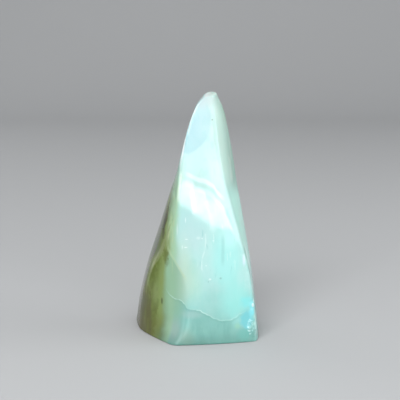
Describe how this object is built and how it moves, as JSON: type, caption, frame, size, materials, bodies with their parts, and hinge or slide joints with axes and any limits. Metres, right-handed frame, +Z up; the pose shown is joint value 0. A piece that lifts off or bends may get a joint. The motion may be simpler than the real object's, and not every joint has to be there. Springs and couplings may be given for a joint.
{
  "type": "polished opal freeform",
  "caption": "Tall tapering freeform of polished Andean opal, twisting from a flat sawn base to a small facet at its tip, for display.",
  "frame": {"origin": "middle of the bounding box, on the plane of the sawn base", "axes": "+Z up to the tip, -Y out of the broad front face, +X to the right as seen from the front"},
  "size_m": [0.052, 0.039, 0.1],
  "materials": {
    "opal": "polished, milky and translucent"
  },
  "bodies": {
    "root": {"andean_opal": "opal"}
  },
  "joints": []
}
